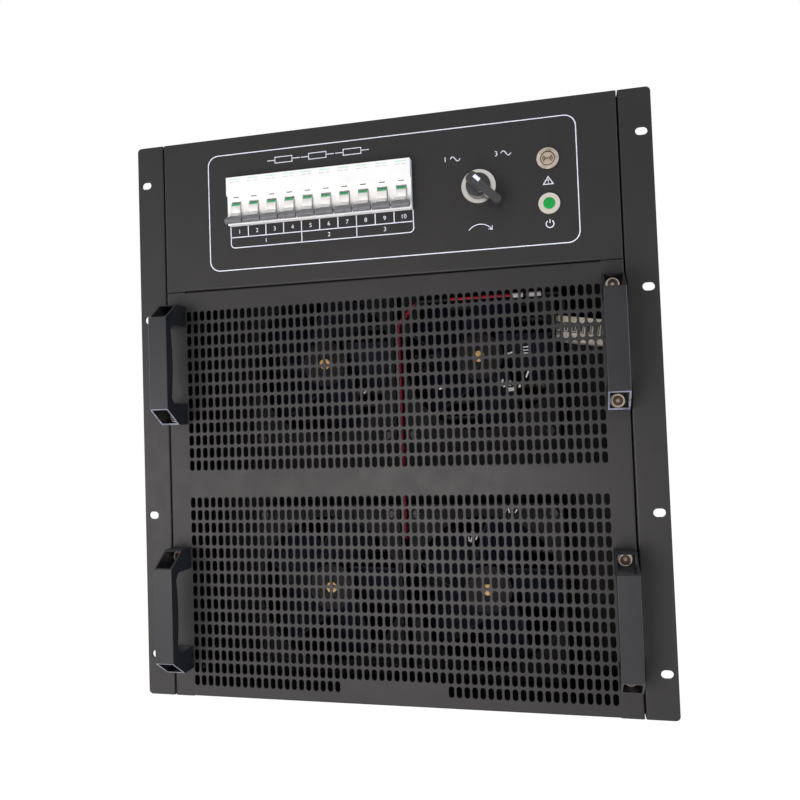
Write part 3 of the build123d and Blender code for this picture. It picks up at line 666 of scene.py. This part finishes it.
def terminal_ways():
    """Wire ways as flat black pads of painted shade, clamps and screws on the tilted block, between its moulded
    ribs.
    """
    lo, hi = (Vector(v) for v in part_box("terminal_block"))
    face = lo.y - 0.05 * MM
    mid = ((lo.x + hi.x) / 2, (lo.z + hi.z) / 2)

    def spot(u, v):
        """(x, z) of a place on the block's tilted face, from its middle."""
        return (mid[0] + u * math.cos(TERM_TILT) + v * math.sin(TERM_TILT),
                mid[1] - u * math.sin(TERM_TILT) + v * math.cos(TERM_TILT))

    def oblong(u, v, w, h):
        return [spot(u + i * w / 2, v + j * h / 2) for i, j in ((-1, -1), (1, -1), (1, 1), (-1, 1))]

    def pad(build, u, v, w, h, y):
        build.add([(x, y, z) for x, z in oblong(u, v, w, h)], [(0, 1, 2, 3)])

    dark, clamps, ribs, block = Build(), Build(), Build(), Build()
    end_mid, end_width = -28.4 * MM, 8.8 * MM          # an end way beyond the CAD block
    block.prism(oblong(end_mid, 0, end_width, 2 * TERM_HALF_H), "y", lo.y, lo.y + 18 * MM)
    block.done("terminal_end_way", CREAM)
    for k in range(-1, 7):
        u = (k - 3) * WAY
        # painted shade: a flat black pad stands for the dark opening of each wire way
        pad(dark, u, 1.5 * MM, 5.6 * MM, 9.6 * MM, face)
        for side in (-1, 1):
            pad(clamps, u + side * 1.5 * MM, 1.2 * MM, 0.8 * MM, 7.4 * MM, face - 0.25 * MM)
        pad(clamps, u, -2.2 * MM, 3.8 * MM, 1.0 * MM, face - 0.25 * MM)
        clamps.disc(*spot(u, -7.6 * MM), 1.9 * MM, face - 0.6 * MM, face, 20, 0.3 * MM)
        ribs.prism(oblong(u - WAY / 2, 0, 0.6 * MM, 23.2 * MM), "y", face - 1.0 * MM, face)
    dark.done("terminal_wire_way_shade", BLACK)
    clamps.done("terminal_clamps", ZINC)
    ribs.done("terminal_ribs", CREAM)


def lead_ends():
    """White tie tails and crimp sleeves on the fan leads."""
    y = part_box("wire_harness")[0][1] + 2 * MM
    # x and z of the middle, length and width in mm, tilt in degrees
    tails = [(107.6, 314.8, 5.0, 1.6, 60), (110.4, 316.6, 4.0, 1.4, 20),
             (125.0, 321.6, 8.0, 1.1, 4), (125.4, 318.6, 8.0, 1.1, 2), (125.0, 315.8, 6.5, 1.0, 0),
             (125.4, 295.4, 6.5, 1.6, 68), (121.6, 287.2, 5.0, 1.3, 55),
             (101.4, 288.4, 6.5, 1.8, 78), (104.0, 285.0, 4.0, 1.4, 20),
             (109.0, 287.4, 5.0, 1.5, 85), (109.6, 281.6, 7.0, 3.4, 8), (118.4, 285.6, 5.5, 1.6, 70),
             (42.0, 285.8, 4.2, 2.6, 15),
             (100.0, 166.6, 5.0, 1.0, 75), (102.8, 166.2, 5.0, 1.0, 105), (109.6, 165.2, 4.0, 1.1, 60),
             (63.6, 138.6, 4.6, 1.0, 100), (65.8, 138.0, 4.6, 0.9, 80), (71.0, 139.8, 4.2, 1.0, 70),
             (-35.0, 284.6, 3.6, 1.0, 50)]
    b = Build()
    for x, z, size, wide, tilt in tails:
        a = math.radians(tilt)
        du, dv = (math.cos(a), math.sin(a)), (-math.sin(a), math.cos(a))
        corners = [(x * MM + (i * size * du[0] + j * wide * dv[0]) / 2 * MM,
                    z * MM + (i * size * du[1] + j * wide * dv[1]) / 2 * MM)
                   for i, j in ((-1, -1), (1, -1), (1, 1), (-1, 1))]
        b.prism(corners, "y", y, y + 1.2 * MM)
    b.done("lead_ends_and_ties", TIE)


def earth_sign():
    """The plain earth sign in its circle, printed on the rear panel above the stud."""
    lo, hi = (Vector(v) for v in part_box("earth_stud"))
    x, z = (lo.x + hi.x) / 2, hi.z + 13 * MM
    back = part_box("rear_panel")[1][1] - 10 * MM + 0.06 * MM     # the louvres stand 10 mm out
    b, line = Build(), 0.9 * MM
    ribbon(b, arc_points(x, z, 7 * MM, 0, 360, 36)[:-1], line, back, closed=True)
    ribbon(b, [(x, z + 5 * MM), (x, z)], line, back)
    for k, half in enumerate((4.2, 2.8, 1.3)):
        ribbon(b, [(x - half * MM, z - 1.9 * k * MM), (x + half * MM, z - 1.9 * k * MM)], line, back)
    b.done("earth_sign", INK)


# ------------------------------------------------------------------ the rest of the CAD nodes
def carried_over():
    for node in ("side_panel_left", "side_panel_right", "top_cover", "base_tray", "rear_panel"):
        dress(node, PAINT, 0.3)
    dress("control_panel", PAINT, 0.25)
    for level in ("upper", "lower"):
        for side in ("left", "right"):
            # the lower right handle gets no painted edge highlight
            plain_edges = (level, side) == ("lower", "right")
            dress("handle_%s_%s" % (level, side), HANDLE_PLAIN if plain_edges else HANDLE_EDGE_HIGHLIT, 0.45)
    dress("handle_screws", SOCKET_SCREW)
    dress("handle_washers", WASHER, 0.2)
    dress("din_rail", ZINC)
    dress("cover_screws", ZINC, 0.3)
    for k in (1, 2, 3):
        dress("heater_phase_%d" % k, HEAT)
    dress("heater_racks", ZINC)
    dress("contactors", GREY, 0.8)
    dress("terminal_block", CREAM, 0.5)
    dress("terminal_bracket", PLATE_PAINT)
    dress("wire_harness", WIRE)
    dress("cable_ties", BLACK)
    dress("cable_gland", BLACK, 0.6)
    lo, hi = (Vector(v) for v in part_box("cable_gland"))
    membrane = Build()
    membrane.disc((lo.x + hi.x) / 2, (lo.z + hi.z) / 2, 14.2 * MM, hi.y - 8 * MM, hi.y - 6.5 * MM)
    membrane.done("gland_membrane", BLACK)
    dress("earth_stud", BRASS, 0.3)
    earth_sign()


# ------------------------------------------------------------------ light, floor, camera
def looked_at(nodes, links):
    """1 for camera, glossy and transmission rays, else 0."""
    path = nodes.new("ShaderNodeLightPath")
    seen = path.outputs["Is Camera Ray"]
    for kind in ("Is Glossy Ray", "Is Transmission Ray"):
        either = nodes.new("ShaderNodeMath")
        either.operation = "MAXIMUM"
        links.new(seen, either.inputs[0])
        links.new(path.outputs[kind], either.inputs[1])
        seen = either.outputs[0]
    return seen


def sky():
    """White where the camera, gloss or glass looks at it, and a plain fill light."""
    world = bpy.data.worlds.new("studio")
    bpy.context.scene.world = world
    world.use_nodes = True
    nodes, links = world.node_tree.nodes, world.node_tree.links
    span = nodes.new("ShaderNodeMapRange")
    span.inputs["To Min"].default_value = 0.34
    span.inputs["To Max"].default_value = 1.0
    links.new(looked_at(nodes, links), span.inputs["Value"])
    links.new(span.outputs["Result"], nodes["Background"].inputs["Strength"])
    nodes["Background"].inputs["Color"].default_value = (1, 1, 1, 1)


def floor():
    m = bpy.data.materials.new("studio_floor")
    m.use_nodes = True
    nodes, links = m.node_tree.nodes, m.node_tree.links
    bsdf = nodes["Principled BSDF"]
    bsdf.inputs["Base Color"].default_value = (0.86, 0.86, 0.86, 1)
    bsdf.inputs["Roughness"].default_value = 0.9
    bsdf.inputs["Specular IOR Level"].default_value = 0.1
    glow = nodes.new("ShaderNodeEmission")
    glow.inputs["Strength"].default_value = 1.12
    blend = nodes.new("ShaderNodeMixShader")
    share = nodes.new("ShaderNodeMath")
    share.operation = "MULTIPLY"
    share.inputs[1].default_value = 0.88
    links.new(looked_at(nodes, links), share.inputs[0])
    links.new(share.outputs[0], blend.inputs["Fac"])
    links.new(bsdf.outputs[0], blend.inputs[1])
    links.new(glow.outputs[0], blend.inputs[2])
    links.new(blend.outputs[0], nodes["Material Output"].inputs["Surface"])
    mesh = bpy.data.meshes.new("studio_floor")
    s = 6.0
    mesh.from_pydata([(-s, -s, 0), (s, -s, 0), (s, s, 0), (-s, s, 0)], [], [(0, 1, 2, 3)])
    mesh.materials.append(m)
    obj = bpy.data.objects.new("studio_floor", mesh)
    bpy.context.scene.collection.objects.link(obj)
    obj.visible_shadow = False          # so that it doesn't hide the low lamps, which stand under its level


def area_light(name, place, aim, size, watts, color=(1, 1, 1)):
    data = bpy.data.lights.new(name, "AREA")
    data.size, data.energy, data.color = size, watts, color
    obj = bpy.data.objects.new(name, data)
    obj.location = place
    obj.rotation_euler = (Vector(aim) - Vector(place)).to_track_quat("-Z", "Y").to_euler()
    obj.visible_camera = False
    bpy.context.scene.collection.objects.link(obj)


WARM, ROSE, PINK, BLUE = (1.0, 0.93, 0.905), (1.0, 0.95, 0.95), (1.0, 0.94, 0.93), (0.66, 0.79, 1.0)


def lights():
    aim = (0, FACE_Y, 0.27)
    area_light("low_left_soft", (-0.72, FACE_Y - 1.25, -0.05), (-0.1, FACE_Y, 0.12), 0.55, 8.5, WARM)
    area_light("low_front_soft", (-0.18, FACE_Y - 0.8, -0.30), (0.0, FACE_Y, 0.05), 0.4, 5, ROSE)
    area_light("low_mid_soft", (-0.02, FACE_Y - 0.55, 0.125), (-0.02, FACE_Y, 0.05), 0.24, 1.1, PINK)
    area_light("left_rim", (-1.6, FACE_Y - 0.2, 0.5), aim, 0.9, 12, BLUE)
    area_light("right_rim", (1.6, FACE_Y - 0.2, 0.4), aim, 0.9, 16, BLUE)
    area_light("top_soft", (0, 0.2, 2.2), (0, 0, 0.3), 2.0, 12)
    area_light("back_soft", (0.6, 2.2, 1.2), (0, 0.3, 0.3), 1.5, 10)


def camera():
    data = bpy.data.cameras.new("camera")
    data.lens, data.sensor_width = 37.34, 36.0
    data.shift_x, data.shift_y = 0.0503, -0.0175
    obj = bpy.data.objects.new("camera", data)
    obj.location = (0.1641, FACE_Y - 0.7363, 0.2552)
    obj.rotation_euler = (math.radians(92.470), math.radians(1.888), math.radians(14.269))
    bpy.context.scene.collection.objects.link(obj)
    bpy.context.scene.camera = obj


camera()
sky()
floor()
lights()
carried_over()
grille()
breakers()
controls()
fans()
terminal_ways()
lead_ends()
printed_lines()
printed_signs()

bpy.context.scene.view_settings.view_transform = "Standard"
